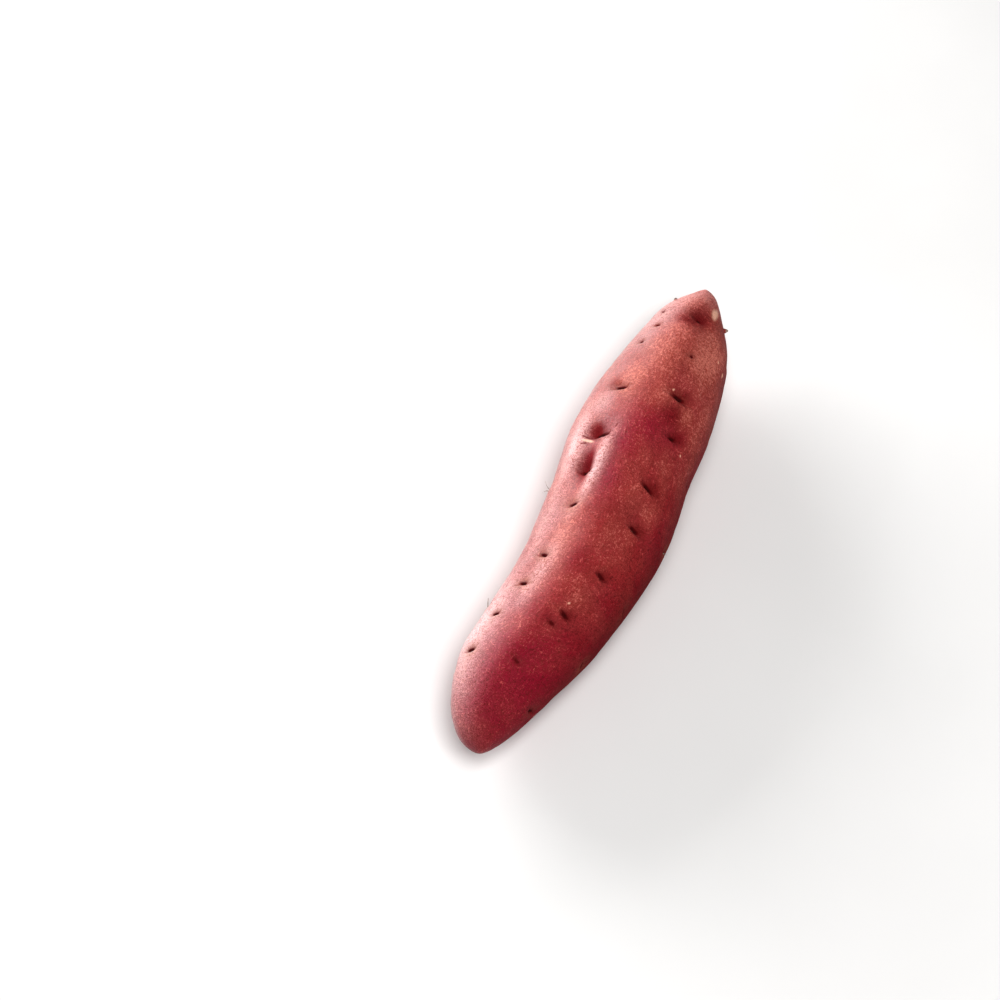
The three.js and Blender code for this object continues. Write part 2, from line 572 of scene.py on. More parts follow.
@dataclass
class SkinRelief:
    """Everything that raises, sinks or colours the plain skin, worked out point by point.

    Each wave of the lumps is its height and its length, and each scar lobe its count and its strength. An
    eye is worked out only as far round it as its span.
    """

    form: RootForm
    eyes: tuple[Eye, ...]
    eye_shape: EyeShape = EyeShape()
    fold_shape: FoldShape = FoldShape()
    eye_span: float = 9.0
    waves: tuple[Span, ...] = ((0.55, 26.0), (0.16, 8.0), (0.07, 3.6))
    wave_shift: Span = (3.0, 5.0)
    scar_lobes: tuple[tuple[int, float], ...] = ((2, 0.14), (3, 0.07))
    scar_reach: float = 1.35
    scar_edge: float = 0.7
    groove_sway: float = 0.12
    groove_beat: float = 2.1
    stub_lobes: int = 3
    stub_raggedness: float = 0.2
    stub_bluntness: float = 0.6
    stub_cover: float = 4.0

    def unrolled(self, at: Where, place: Place, turn: float = 0.0) -> tuple[np.ndarray, np.ndarray]:
        """Measures points over the skin from a place on it.

        Args:
            at: The along, around and plain radius of the points.
            place: The along and around that the measures start from.
            turn: Degrees that the measuring cross is turned by.

        Returns:
            How far each point lies towards the crown, and how far round the root.
        """
        along, around, radius = at
        up = along - place[0]
        over = np.radians((around - place[1] + 180) % 360 - 180) * radius
        c, s = math.cos(math.radians(turn)), math.sin(math.radians(turn))
        return c * up - s * over, c * over + s * up

    def patch(self, at: Where, mark: Swell | Blush) -> np.ndarray:
        """Gives a mark's soft patch at each point."""
        up, over = self.unrolled(at, (mark.along, mark.around), mark.turn)
        return soft_spot(up, mark.half_length, over, mark.half_width)

    def scar_mask(self, at: Where, scar: Scar) -> np.ndarray:
        """Gives a scar's patch, with a firm and slightly ragged edge at its half sizes.

        Args:
            at: The along, around and radius of the points.
            scar: The scar.

        Returns:
            The scar's strength at each point.
        """
        up, over = self.unrolled(at, (scar.along, scar.around), scar.turn)
        along_share, around_share = up / scar.half_length, over / scar.half_width
        turn = np.arctan2(around_share, along_share)
        ragged = np.ones_like(turn)
        for (lobes, strength), phase in zip(self.scar_lobes, (scar.along, scar.around)):
            ragged += strength * np.sin(lobes * turn + phase)
        reach = np.hypot(along_share, around_share) / ragged
        return np.clip((self.scar_reach - reach) / self.scar_edge, 0, 1)

    def groove(self, at: Where, crease: Crease) -> np.ndarray:
        """Gives a fine groove, one at its middle line and fading to both ends.

        Args:
            at: The along, around and radius of the points.
            crease: The crease that the groove makes.

        Returns:
            The groove's strength at each point.
        """
        start, end, width = crease.start, crease.end, crease.width
        up, over = self.unrolled(at, start)
        run_up = end[0] - start[0]
        run_over = math.radians(end[1] - start[1]) * float(np.median(at[2]))
        run = math.hypot(run_up, run_over)
        progress = (up * run_up + over * run_over) / run
        aside = (over * run_up - up * run_over) / run
        aside += self.groove_sway * np.sin(self.groove_beat * progress + run)
        onset = np.clip((progress + width) / (2 * width), 0, 1)
        fade = np.clip((run + width - progress) / (run / 2 + 2 * width), 0, 1)
        return np.exp(-((aside / width) ** 2)) * onset * fade

    def eye_marks(self, at: Where, eye: Eye, draw: random.Random) -> tuple[np.ndarray, Masks]:
        """Works out one eye.

        Args:
            at: The along, around and radius of the points near it.
            eye: The eye.
            draw: The seeded source of its folds.

        Returns:
            The height it adds, and what it leaves on the skin.
        """
        shape, fold = self.eye_shape, self.fold_shape
        width, slit, depth = eye.width, eye.slit, eye.depth
        up, over = self.unrolled(at, (eye.along, eye.around), eye.tilt)
        cup = up - shape.curl * over**2 / max(slit, shape.least_slit)
        above = 1 / (1 + np.exp((shape.brim_rise - cup) / shape.brim_softness))
        length_share, width_share = shape.hollow_shares
        hollow = above * soft_spot(np.maximum(cup, 0), length_share * width, over, width_share * width)
        cut = np.exp(-(((cup - shape.slit_rise) / shape.slit_thickness) ** 2) - (over / slit) ** 4)
        length_share, width_share = shape.pit_shares
        pit = soft_spot(cup - shape.pit_rise, length_share * slit, over, width_share * slit)
        lip = soft_spot(cup - shape.lip_rise, shape.lip_thickness, over, shape.lip_width * slit)
        folds = self.eye_folds(up, over, eye, draw)
        height = depth * (shape.lip_depth_share * lip - hollow - shape.pit_depth_share * pit)
        height -= (shape.slit_depth + shape.slit_depth_share * depth) * cut + fold.depth * folds
        thickness = shape.wall_thickness + shape.wall_growth * width**2
        rise = shape.wall_rise + shape.wall_lean * depth + shape.wall_sink * max(depth - 1, 0)
        wall = soft_spot(cup - rise, thickness, over, shape.wall_width * slit)
        bruise = soft_spot(cup - shape.bruise_rise, shape.bruise_length, over, shape.bruise_width * slit)
        dark = shape.wall_dark * wall + shape.pit_dark * pit + shape.bruise_dark * bruise
        length_share, width_share = shape.halo_shares
        ring = soft_spot(up - shape.halo_rise * width, length_share * width, over, width_share * width)
        return height, {
            Mark.EYE_DARK: eye.dark * np.clip(dark, 0, 1),
            Mark.FOLD_SHADE: np.maximum(fold.shade * folds, shape.hollow_shade * hollow),
            Mark.DRY_HALO: eye.halo * ring,
        }

    def eye_folds(
        self, up: np.ndarray, over: np.ndarray, eye: Eye, draw: random.Random
    ) -> np.ndarray:
        """Draws the fine folds that fan out from the two ends of an eye's slit.

        Args:
            up: Distance of each point from the slit towards the crown.
            over: Distance of each point from the slit's middle round the root.
            eye: The eye.
            draw: The seeded source of the folds.

        Returns:
            The strength of the folds at each point.
        """
        shape = self.fold_shape
        folds = np.zeros_like(up)
        for index in range(eye.folds):
            side = 1 if index % 2 else -1
            angle = math.radians(draw.uniform(*shape.angles))
            reach = eye.width * draw.uniform(*shape.reaches)
            away = side * over - eye.slit * draw.uniform(*shape.starts)
            progress = away * math.cos(angle) + up * math.sin(angle)
            aside = up * math.cos(angle) - away * math.sin(angle)
            bent = aside + shape.sway * np.sin(shape.beat * progress + index)
            fade = np.clip(1 - progress / reach, 0, 1) ** shape.fading
            fade *= np.clip(progress / shape.onset, 0, 1)
            folds = np.maximum(folds, np.exp(-((bent / shape.thickness) ** 2)) * fade)
        return folds

    def sink_eyes(self, at: Where, height: np.ndarray, masks: Masks) -> None:
        """Sinks the eyes, each with folds of its own.

        Args:
            at: The along, around and radius of the points.
            height: The height so far, which is changed.
            masks: The masks so far, which are changed.
        """
        for index, eye in enumerate(self.eyes):
            up, over = self.unrolled(at, (eye.along, eye.around))
            near = (np.abs(up) < self.eye_span) & (np.abs(over) < self.eye_span)
            local = tuple(values[near] for values in at)
            rise, left = self.eye_marks(local, eye, random.Random(SEED + index))
            height[near] += rise
            for mark, strength in left.items():
                masks[mark][near] = np.maximum(masks[mark][near], strength)

    def stub_inside(self, at: Where, stub: Stub) -> np.ndarray:
        """Gives how far inside a stub's ragged outline each point is.

        Args:
            at: The along, around and radius of the points.
            stub: The stub.

        Returns:
            One at the stub's middle and zero from its outline on.
        """
        up, over = self.unrolled(at, (stub.along, stub.around))
        ragged = 1 + self.stub_raggedness * np.sin(self.stub_lobes * np.arctan2(over, up) + stub.along)
        return np.clip(1 - (np.hypot(up, over) / (stub.half_width * ragged)) ** 2, 0, 1)

    def marks(self, share: np.ndarray, around: np.ndarray, plain: np.ndarray) -> tuple[np.ndarray, Masks]:
        """Works out the whole relief and its colour masks.

        Args:
            share: Share of the half turn from tail to crown, for each point.
            around: Degrees around the root.
            plain: The points on the plain skin.

        Returns:
            The height in millimetres, and the masks.
        """
        along = (1 - np.cos(math.pi * share)) * self.form.length / 2
        at = (along, around, self.form.radius(share, around))
        height = self.lumps(plain)
        masks = {mark: np.zeros(len(share)) for kind in (Mark, Healed, Tone) for mark in kind}
        for swell in SWELLS:
            height += swell.height * self.patch(at, swell)
        for crease in CREASES:
            line = self.groove(at, crease)
            height -= crease.depth * line
            masks[Mark.FOLD_SHADE] = np.maximum(masks[Mark.FOLD_SHADE], crease.shade * line)
        for scar in SCARS:
            healed = self.scar_mask(at, scar)
            height += scar.height * healed
            masks[scar.kind] = np.maximum(masks[scar.kind], healed)
        for blush in BLUSHES:
            masks[blush.tone] = np.maximum(masks[blush.tone], blush.strength * self.patch(at, blush))
        self.sink_eyes(at, height, masks)
        for stub in STUBS:
            inside = self.stub_inside(at, stub)
            height += stub.height * inside**self.stub_bluntness
            masks[Mark.STUB] = np.maximum(masks[Mark.STUB], np.minimum(1, self.stub_cover * inside))
        return height, masks

    def lumps(self, plain: np.ndarray) -> np.ndarray:
        """Gives the gentle unevenness of the whole root.

        Args:
            plain: The points on the plain skin.

        Returns:
            The height in millimetres at each point.
        """
        height = np.zeros(len(plain))
        for wave, size in self.waves:
            shift = Vector((size, *self.wave_shift))
            height += wave * np.array([noise.noise(Vector(place) / size + shift) for place in plain])
        return height


# The net of faces


@dataclass
class SkinNet:
    """The faces of the skin: rings and lines, split finer inside chosen cells.

    Corners are counted on a lattice that is fine everywhere, and only the used ones become vertices.
    """

    form: RootForm
    rings: int = 236
    lines: int = 160
    split: int = 4
    bare_rings: int = 2
    measuring_steps: int = 2000
    faces: list[list[int]] = field(default_factory=list)
    corners: list[list[Place]] = field(default_factory=list)
    share: np.ndarray | None = None
    around: np.ndarray | None = None
    fine_face: dict[tuple[int, int], int] = field(default_factory=dict)

    def ring_shares(self) -> np.ndarray:
        """Spaces the fine rings evenly over the skin.

        Returns:
            The share of the half turn at each fine ring.
        """
        turn = np.linspace(0, math.pi, self.measuring_steps + 1)
        thick = max(self.form.girth)
        step = np.hypot(self.form.length / 2 * np.sin(turn), thick * np.cos(turn))
        run = np.concatenate([[0], np.cumsum((step[1:] + step[:-1]) / 2)])
        even = np.linspace(0, run[-1], self.rings * self.split + 1)
        return np.interp(even, run, turn) / math.pi

    def fine_cells(self, shares: np.ndarray, spots: list[Spot]) -> np.ndarray:
        """Picks the cells that are split.

        Args:
            shares: The share of the half turn at each fine ring.
            spots: The along, around and reach of each place that needs fine faces.

        Returns:
            A true or false for each ring and line.
        """
        half = self.split // 2
        share = shares[half :: self.split][: self.rings]
        along = (1 - np.cos(math.pi * share)) * self.form.length / 2
        around = (np.arange(self.lines) + 0.5) * 360 / self.lines
        radius = self.form.carried(self.form.girth, share) * np.sin(math.pi * share)
        picked = np.zeros((self.rings, self.lines), bool)
        for spot_along, spot_around, reach in spots:
            over = np.radians((around - spot_around + 180) % 360 - 180)[None, :] * radius[:, None]
            picked |= np.hypot((along - spot_along)[:, None], over) < reach
        picked[: self.bare_rings] = False
        picked[-self.bare_rings :] = False
        return picked

    def weave(self, spots: list[Spot]) -> None:
        """Makes the faces and their corners' places on the unrolled map.

        Args:
            spots: The along, around and reach of each place that needs fine faces.
        """
        k = self.split
        rows, columns = self.rings * k, self.lines * k
        shares = self.ring_shares()
        fine = self.fine_cells(shares, spots)
        used = np.zeros((rows + 1, columns), bool)
        used[k:rows:k, ::k] = True
        for i, j in zip(*np.nonzero(fine)):
            used[i * k : (i + 1) * k + 1, np.arange(j * k, (j + 1) * k + 1) % columns] = True
        used[0], used[rows] = False, False
        used[0, 0] = used[rows, 0] = True
        number = np.full(used.shape, -1)
        number[used] = np.arange(used.sum())
        number[0], number[rows] = number[0, 0], number[rows, 0]
        row, column = np.nonzero(used)
        self.share = shares[row]
        self.around = column * 360 / columns

        def add(outline: list[tuple[int, int]]) -> None:
            """Adds one face from its lattice corners."""
            self.faces.append([int(number[a, b % columns]) for a, b in reversed(outline)])
            self.corners.append([(b / columns, a / rows) for a, b in reversed(outline)])

        for i in range(self.rings):
            for j in range(self.lines):
                top, left = i * k, j * k
                if i == 0:
                    add([(0, left), (k, left), (k, left + k)])
                elif i == self.rings - 1:
                    add([(top, left), (rows, left), (top, left + k)])
                elif fine[i, j]:
                    for a in range(top, top + k):
                        for b in range(left, left + k):
                            self.fine_face[a, b] = len(self.faces)
                            add([(a, b), (a + 1, b), (a + 1, b + 1), (a, b + 1)])
                else:
                    add(self.outline(used, top, left))

    def face_at(self, along: float, around: float) -> int:
        """Finds the fine face at a place on the skin.

        Args:
            along: Distance from the tail.
            around: Degrees around the root.

        Returns:
            The face's place in the list of faces.
        """
        share = float(self.form.share_at(np.array([along]))[0])
        row = int(np.searchsorted(self.ring_shares(), share)) - 1
        return self.fine_face[row, int(around % 360 / 360 * self.lines * self.split)]

    def outline(self, used: np.ndarray, top: int, left: int) -> list[tuple[int, int]]:
        """Walks round a coarse cell and keeps every lattice corner that a finer neighbour uses.

        Args:
            used: Which lattice corners are vertices.
            top: The cell's first fine ring.
            left: The cell's first fine line.

        Returns:
            The cell's corners in order.
        """
        k, columns = self.split, used.shape[1]
        walk = [(top + step, left) for step in range(k)]
        walk += [(top + k, left + step) for step in range(k)]
        walk += [(top + k - step, left + k) for step in range(k)]
        walk += [(top, left + k - step) for step in range(k)]
        return [(a, b) for a, b in walk if used[a, b % columns]]


# Node benches and shared effects

# Where the Mix node keeps its colour sockets, after those for numbers and vectors
FIRST_COLOUR = 6
SECOND_COLOUR = 7
MIXED_COLOUR = 2
NOISE_MIDDLE = 0.5


@dataclass(frozen=True)
class Ripple:
    """The finer layers of a noise: how many, how strong, and how much the noise bends itself."""

    detail: float = 2.0
    rough: float = 0.5
    warp: float = 0.0


class NodeBench:
    """Adds and joins the nodes of one node tree."""

    def __init__(self, tree: bpy.types.NodeTree) -> None:
        """Takes the tree that the nodes go in."""
        self.tree = tree

    def add(self, kind: str, **settings: object) -> bpy.types.Node:
        """Adds a node.

        Args:
            kind: Blender's name for the kind of node.
            settings: The properties it is given.

        Returns:
            The node.
        """
        node = self.tree.nodes.new(kind)
        for name, value in settings.items():
            setattr(node, name, value)
        return node

    def feed(self, socket: bpy.types.NodeSocket, value: object) -> None:
        """Links an output to a socket, or sets the socket to a plain value.

        Args:
            socket: The socket that takes the value.
            value: An output, a number, a vector or a colour.
        """
        if isinstance(value, bpy.types.NodeSocket):
            self.tree.links.new(value, socket)
        elif isinstance(value, tuple) and socket.type == "RGBA":
            socket.default_value = (*value[:3], 1.0)
        else:
            socket.default_value = value

    def math(self, operation: str, first: object, *others: object) -> bpy.types.NodeSocket:
        """Works out arithmetic from left to right and clamps nothing.

        Args:
            operation: Blender's name for the operation.
            first: The first value.
            others: The values that join it one by one.

        Returns:
            The result.
        """
        for other in others:
            node = self.add("ShaderNodeMath", operation=operation)
            self.feed(node.inputs[0], first)
            self.feed(node.inputs[1], other)
            first = node.outputs[0]
        return first

    def moved(self, operation: str, vector: object, by: Axes) -> bpy.types.NodeSocket:
        """Adds a fixed vector to another, or multiplies it by the fixed one.

        Args:
            operation: Blender's name for the operation.
            vector: The vector.
            by: The fixed vector.

        Returns:
            The result.
        """
        node = self.add("ShaderNodeVectorMath", operation=operation)
        self.feed(node.inputs[0], vector)
        node.inputs[1].default_value = by
        return node.outputs[0]

    def split(self, vector: object) -> bpy.types.Node:
        """Splits a vector into its X, Y and Z.

        Args:
            vector: The vector.

        Returns:
            The node that gives the three numbers.
        """
        node = self.add("ShaderNodeSeparateXYZ")
        self.feed(node.inputs[0], vector)
        return node

    def noise(self, vector: object, scale: object, ripple: Ripple) -> bpy.types.NodeSocket:
        """Adds a noise texture.

        Args:
            vector: Where the noise is read.
            scale: How many waves there are in a unit of the vector.
            ripple: How its finer layers are laid on.

        Returns:
            The noise value, about a half on average.
        """
        node = self.add("ShaderNodeTexNoise")
        self.feed(node.inputs["Vector"], vector)
        self.feed(node.inputs["Scale"], scale)
        node.inputs["Detail"].default_value = ripple.detail
        node.inputs["Roughness"].default_value = ripple.rough
        node.inputs["Distortion"].default_value = ripple.warp
        return node.outputs["Fac"]

    def step(self, value: object, low: object, high: object) -> bpy.types.NodeSocket:
        """Maps a value smoothly between two limits.

        Args:
            value: The value.
            low: Where the result is zero.
            high: Where it is one.

        Returns:
            The result.
        """
        node = self.add("ShaderNodeMapRange", interpolation_type="SMOOTHSTEP")
        self.feed(node.inputs["Value"], value)
        self.feed(node.inputs["From Min"], low)
        self.feed(node.inputs["From Max"], high)
        return node.outputs["Result"]

    def mix(self, factor: object, first: object, second: object) -> bpy.types.NodeSocket:
        """Mixes two colours.

        Args:
            factor: How much of the second is taken.
            first: The first colour.
            second: The second colour.

        Returns:
            The mixed colour.
        """
        node = self.add("ShaderNodeMix", data_type="RGBA", clamp_factor=True)
        self.feed(node.inputs["Factor"], factor)
        self.feed(node.inputs[FIRST_COLOUR], first)
        self.feed(node.inputs[SECOND_COLOUR], second)
        return node.outputs[MIXED_COLOUR]

    def ramp(self, value: object, stops: tuple[tuple[float, Colour], ...]) -> bpy.types.NodeSocket:
        """Maps a value to a colour through smooth stops.

        Args:
            value: The value.
            stops: The position and colour of each stop.

        Returns:
            The colour.
        """
        node = self.add("ShaderNodeValToRGB")
        self.feed(node.inputs[0], value)
        elements = node.color_ramp.elements
        node.color_ramp.interpolation = "EASE"
        while len(elements) < len(stops):
            elements.new(1.0)
        for element, (position, colour) in zip(elements, stops):
            element.position = position
            element.color = (*colour, 1.0)
        return node.outputs["Color"]

    def bump(self, height: object, strength: float, distance: float) -> bpy.types.NodeSocket:
        """Turns a height into the tilt of the surface.

        Args:
            height: The height.
            strength: How much of the tilt is taken.
            distance: Metres that a height of one stands for.

        Returns:
            The normal.
        """
        node = self.add("ShaderNodeBump")
        self.feed(node.inputs["Height"], height)
        node.inputs["Strength"].default_value = strength
        node.inputs["Distance"].default_value = distance
        return node.outputs["Normal"]

    def straight_place(self) -> bpy.types.NodeSocket:
        """Reads the place on the straightened root, in millimetres."""
        node = self.add("ShaderNodeAttribute", attribute_type="GEOMETRY", attribute_name=STRAIGHT_PLACE)
        return node.outputs["Vector"]

    def mask(self, mark: Tone | Healed | Mark, strength: float = 1.0) -> bpy.types.NodeSocket:
        """Reads a mark's mask from the skin.

        Args:
            mark: The mark.
            strength: What the mask is multiplied by.

        Returns:
            The mask.
        """
        node = self.add("ShaderNodeAttribute", attribute_type="GEOMETRY", attribute_name=mark.value)
        return self.math("MULTIPLY", node.outputs["Fac"], strength)


def opened_material(name: str) -> tuple[bpy.types.Material, NodeBench, bpy.types.Node]:
    """Makes a plain material.

    Args:
        name: The material's name.

    Returns:
        The material, a bench for its tree and its shader.
    """
    material = bpy.data.materials.new(name)
    material.use_nodes = True
    return material, NodeBench(material.node_tree), material.node_tree.nodes["Principled BSDF"]


class SocketKind(Enum):
    """The kinds of socket that the shared effects use."""

    NUMBER = "NodeSocketFloat"
    VECTOR = "NodeSocketVector"


@dataclass(frozen=True)
class SharedEffect:
    """An effect that several materials use, kept as a node group with named sockets."""

    name: str
    inputs: tuple[tuple[str, SocketKind, object], ...]
    outputs: tuple[str, ...]

    def opened(self) -> tuple[NodeBench, bpy.types.Node, bpy.types.Node]:
        """Makes the empty group.

        Returns:
            A bench for its tree, the node its inputs come from and the node its outputs go to.
        """
        tree = bpy.data.node_groups.new(self.name, "ShaderNodeTree")
        for name, kind, value in self.inputs:
            socket = tree.interface.new_socket(name, in_out="INPUT", socket_type=kind.value)
            socket.default_value = value
        for name in self.outputs:
            tree.interface.new_socket(name, in_out="OUTPUT", socket_type=SocketKind.NUMBER.value)
        bench = NodeBench(tree)
        return bench, bench.add("NodeGroupInput"), bench.add("NodeGroupOutput")

    def placed(self, bench: NodeBench, **values: object) -> bpy.types.Node:
        """Puts the group in a material.

        Args:
            bench: The material's bench.
            values: The inputs by name, with an underscore for a space.

        Returns:
            The group's node.
        """
        node = bench.add("ShaderNodeGroup", node_tree=bpy.data.node_groups[self.name])
        for name, value in values.items():
            bench.feed(node.inputs[name.replace("_", " ")], value)
        return node


@dataclass(frozen=True)
class ScurfGrain(SharedEffect):
    """Short crossed strokes of pale flecks and dark pores, and their height."""

    name: str = "scurf_grain"
    inputs: tuple[tuple[str, SocketKind, object], ...] = (
        ("Place", SocketKind.VECTOR, (0.0, 0.0, 0.0)),
        ("Grain Size", SocketKind.NUMBER, 0.6),
        ("Coverage", SocketKind.NUMBER, 0.5),
    )
    outputs: tuple[str, ...] = ("Fleck", "Pore", "Height")
    across: Axes = (1.0, 0.42, 0.42)
    lengthwise: Axes = (0.45, 0.9, 0.9)
    stroke: Ripple = Ripple(3.0, 0.62, 0.6)
    dot: Ripple = Ripple(2.0, 0.6)
    dot_fineness: float = 1.7
    stroke_share: float = 0.65
    dot_share: float = 0.35
    bare: float = 0.665
    covered: float = 0.18
    fleck_edge: float = 0.11
    pore_rim: float = 0.475
    pore_bottom: float = 0.365

    def build(self) -> None:
        """Builds the node group."""
        bench, given, taken = self.opened()
        place = given.outputs["Place"]
        scale = bench.math("DIVIDE", 1.0, given.outputs["Grain Size"])
        across = bench.noise(bench.moved("MULTIPLY", place, self.across), scale, self.stroke)
        lengthwise = bench.noise(bench.moved("MULTIPLY", place, self.lengthwise), scale, self.stroke)
        dots = bench.noise(place, bench.math("MULTIPLY", scale, self.dot_fineness), self.dot)
        strokes = bench.math("MULTIPLY", bench.math("MAXIMUM", across, lengthwise), self.stroke_share)
        blend = bench.math("ADD", strokes, bench.math("MULTIPLY", dots, self.dot_share))
        covered = bench.math("MULTIPLY", given.outputs["Coverage"], self.covered)
        low = bench.math("SUBTRACT", self.bare, covered)
        high = bench.math("ADD", low, self.fleck_edge)
        bench.feed(taken.inputs["Fleck"], bench.step(blend, low, high))
        crossed = bench.math("MULTIPLY", bench.math("ADD", across, lengthwise), 1 / 2)
        hollows = bench.math("MINIMUM", crossed, dots)
        bench.feed(taken.inputs["Pore"], bench.step(hollows, self.pore_rim, self.pore_bottom))
        bench.feed(taken.inputs["Height"], blend)


@dataclass(frozen=True)
class SoftDrift(SharedEffect):
    """Wandering soft patches."""

    name: str = "soft_drift"
    inputs: tuple[tuple[str, SocketKind, object], ...] = (
        ("Place", SocketKind.VECTOR, (0.0, 0.0, 0.0)),
        ("Patch Size", SocketKind.NUMBER, 15.0),
        ("Softness", SocketKind.NUMBER, 0.15),
    )
    outputs: tuple[str, ...] = ("Mask",)
    ripple: Ripple = Ripple(3.0, 0.55, 0.4)

    def build(self) -> None:
        """Builds the node group."""
        bench, given, taken = self.opened()
        scale = bench.math("DIVIDE", 1.0, given.outputs["Patch Size"])
        value = bench.noise(given.outputs["Place"], scale, self.ripple)
        low = bench.math("SUBTRACT", NOISE_MIDDLE, given.outputs["Softness"])
        high = bench.math("ADD", NOISE_MIDDLE, given.outputs["Softness"])
        bench.feed(taken.inputs["Mask"], bench.step(value, low, high))


SCURF = ScurfGrain()
DRIFT = SoftDrift()

# Finishes


@dataclass(frozen=True)
class Wander:
    """A wandering value: its waves in a millimetre, its layers, and what it is multiplied by."""

    scale: float
    ripple: Ripple
    strength: float = 1.0

    def value(self, bench: NodeBench, place: bpy.types.NodeSocket) -> bpy.types.NodeSocket:
        """Reads the value at a place.

        Args:
            bench: The material's bench.
            place: The straightened place.

        Returns:
            The value.
        """
        return bench.math("MULTIPLY", bench.noise(place, self.scale, self.ripple), self.strength)


@dataclass(frozen=True)
class Grain:
    """One layer of scurf: its size in millimetres and how strongly its parts show."""

    size: float
    pore: float
    fleck: float
    height: float


@dataclass(frozen=True)
class RootSkin:
    """Thin red-pink root skin, satin and scurfy, browner and dustier towards the crown, with painted
    highlight on its lit flank and painted shade in its hollows.

    A pair of numbers named for a step is where something starts and where it is complete.
    """

    length: float
    name: str = "root_skin"
    tail: Colour = from_srgb(158, 16, 50)
    waist: Colour = from_srgb(166, 34, 46)
    shoulder: Colour = from_srgb(162, 42, 48)
    crown: Colour = from_srgb(150, 62, 56)
    magenta: Colour = from_srgb(158, 6, 54)
    # Maroon, which also paints shade in hollows and beside eyes
    maroon_and_shade_colour: Colour = from_srgb(120, 14, 22)
    tan: Colour = from_srgb(178, 96, 82)
    rosy_fleck: Colour = from_srgb(208, 92, 92)
    tan_fleck: Colour = from_srgb(218, 138, 124)
    # Painted highlight colour, pale pink-white
    painted_highlight_colour: Colour = from_srgb(238, 196, 196)
    # Pore colour, which also paints the shade of folds, creases and eye hollows
    pore: Colour = from_srgb(104, 8, 18)
    tan_pore: Colour = from_srgb(158, 66, 54)
    bruise: Colour = from_srgb(104, 8, 14)
    bark: Colour = from_srgb(70, 10, 10)
    halo: Colour = from_srgb(188, 128, 100)
    cork: Colour = from_srgb(238, 190, 166)
    wood: Colour = from_srgb(226, 180, 158)
    stops: tuple[float, ...] = (0.05, 0.38, 0.68, 0.92)
    wander: Wander = Wander(0.04, Ripple(), 0.3)
    drifts: tuple[tuple[Tone, float, float], ...] = (
        (Tone.MAGENTA, 17.0, 0.4),
        (Tone.MAROON_AND_SHADE, 9.0, 0.22),
        (Tone.TAN, 11.0, 0.3),
    )
    drift_shift: float = 3.0
    drift_softness: float = 0.14
    blush_share: float = 0.88
    scurf_bare: float = 0.2
    scurf_patches: Wander = Wander(0.11, Ripple(3.0), 0.6)
    scurf_more: float = 0.5
    scurf_less: float = -0.35
    dusty_step: Span = (0.3, 0.9)
    grains: tuple[Grain, ...] = (Grain(1.0, 0.5, 0.6, 1.0), Grain(0.5, 0.95, 0.75, 0.6))
    halo_speckle: Wander = Wander(1.3, Ripple(3.0))
    halo_step: Span = (0.3, 0.6)
    halo_share: float = 0.8
    fold_share: float = 0.8
    mottle: Wander = Wander(0.9, Ripple(3.0), 1.2)
    least_mottle: float = 0.4
    bruise_step: Span = (0.05, 0.6)
    bark_step: Span = (0.5, 1.15)
    cork_share: float = 0.88
    roughness: float = 0.28
    rough_patches: Wander = Wander(0.3, Ripple(), 0.14)
    rough_fleck: float = 0.2
    rough_eye: float = 0.4
    rough_maroon_and_shade: float = 0.65
    rough_flank: float = 0.3
    rough_flank_step: Span = (-4.0, -18.0)
    specular: float = 0.2
    wax_flank_step: Span = (-3.0, 15.0)
    wax_patches: Wander = Wander(0.12, Ripple())
    wax_patch_step: Span = (0.3, 0.65)
    wax_patch_share: float = 0.3
    wax_kept: float = 0.85
    wax_dusted: float = 0.35
    wax_worn: float = 1.5
    wax_roughness: float = 0.3
    wax_ior: float = 1.8
    wax_pits: Wander = Wander(1.1, Ripple(3.0, 0.7))
    peel: Wander = Wander(0.42, Ripple(3.0, 0.6), 0.6)
    relief_strength: float = 0.8
    relief: float = 0.001

    def tone_colour(self, tone: Tone) -> Colour:
        """Gives the colour of a tone."""
        # The pale pink-white tone is painted highlight; maroon, the fallback, also paints shade
        colours = {Tone.MAGENTA: self.magenta, Tone.TAN: self.tan, Tone.BLOOM: self.painted_highlight_colour}
        return colours.get(tone, self.maroon_and_shade_colour)

    def base_colour(self, bench: NodeBench, place: bpy.types.NodeSocket) -> bpy.types.NodeSocket:
        """Mixes the skin's colour from tail to crown, with its painted highlight and painted shade patches,
        before its flecks and marks.

        Args:
            bench: The material's bench.
            place: The straightened place.

        Returns:
            The colour.
        """
        share = bench.math("DIVIDE", bench.split(place).outputs["X"], self.length)
        middle = NOISE_MIDDLE * self.wander.strength
        wandered = bench.math("SUBTRACT", self.wander.value(bench, place), middle)
        stops = tuple(zip(self.stops, (self.tail, self.waist, self.shoulder, self.crown)))
        colour = bench.ramp(bench.math("ADD", share, wandered), stops)
        for tone, patch, strength in self.drifts:
            shifted = bench.moved("ADD", place, (self.drift_shift * patch, patch, 0.0))
            drift = DRIFT.placed(bench, Place=shifted, Patch_Size=patch, Softness=self.drift_softness)
            amount = bench.math("MULTIPLY", drift.outputs["Mask"], strength)
            colour = bench.mix(amount, colour, self.tone_colour(tone))
        # The blushes lay painted highlight and painted shade along with the skin's own tones
        for tone in Tone:
            colour = bench.mix(bench.mask(tone, self.blush_share), colour, self.tone_colour(tone))
        return colour

    def coverage(self, bench: NodeBench, place: bpy.types.NodeSocket) -> bpy.types.NodeSocket:
        """Works out how much scurf covers the skin: more in its tan patches and painted highlight, less in
        the maroon patches and their painted shade.

        Args:
            bench: The material's bench.
            place: The straightened place.

        Returns:
            The share that is covered.
        """
        dusty = (Tone.TAN, Tone.BLOOM)
        more = bench.math("MAXIMUM", *(bench.mask(tone, self.scurf_more) for tone in dusty))
        less = bench.mask(Tone.MAROON_AND_SHADE, self.scurf_less)
        return bench.math("ADD", self.scurf_patches.value(bench, place), more, less, self.scurf_bare)

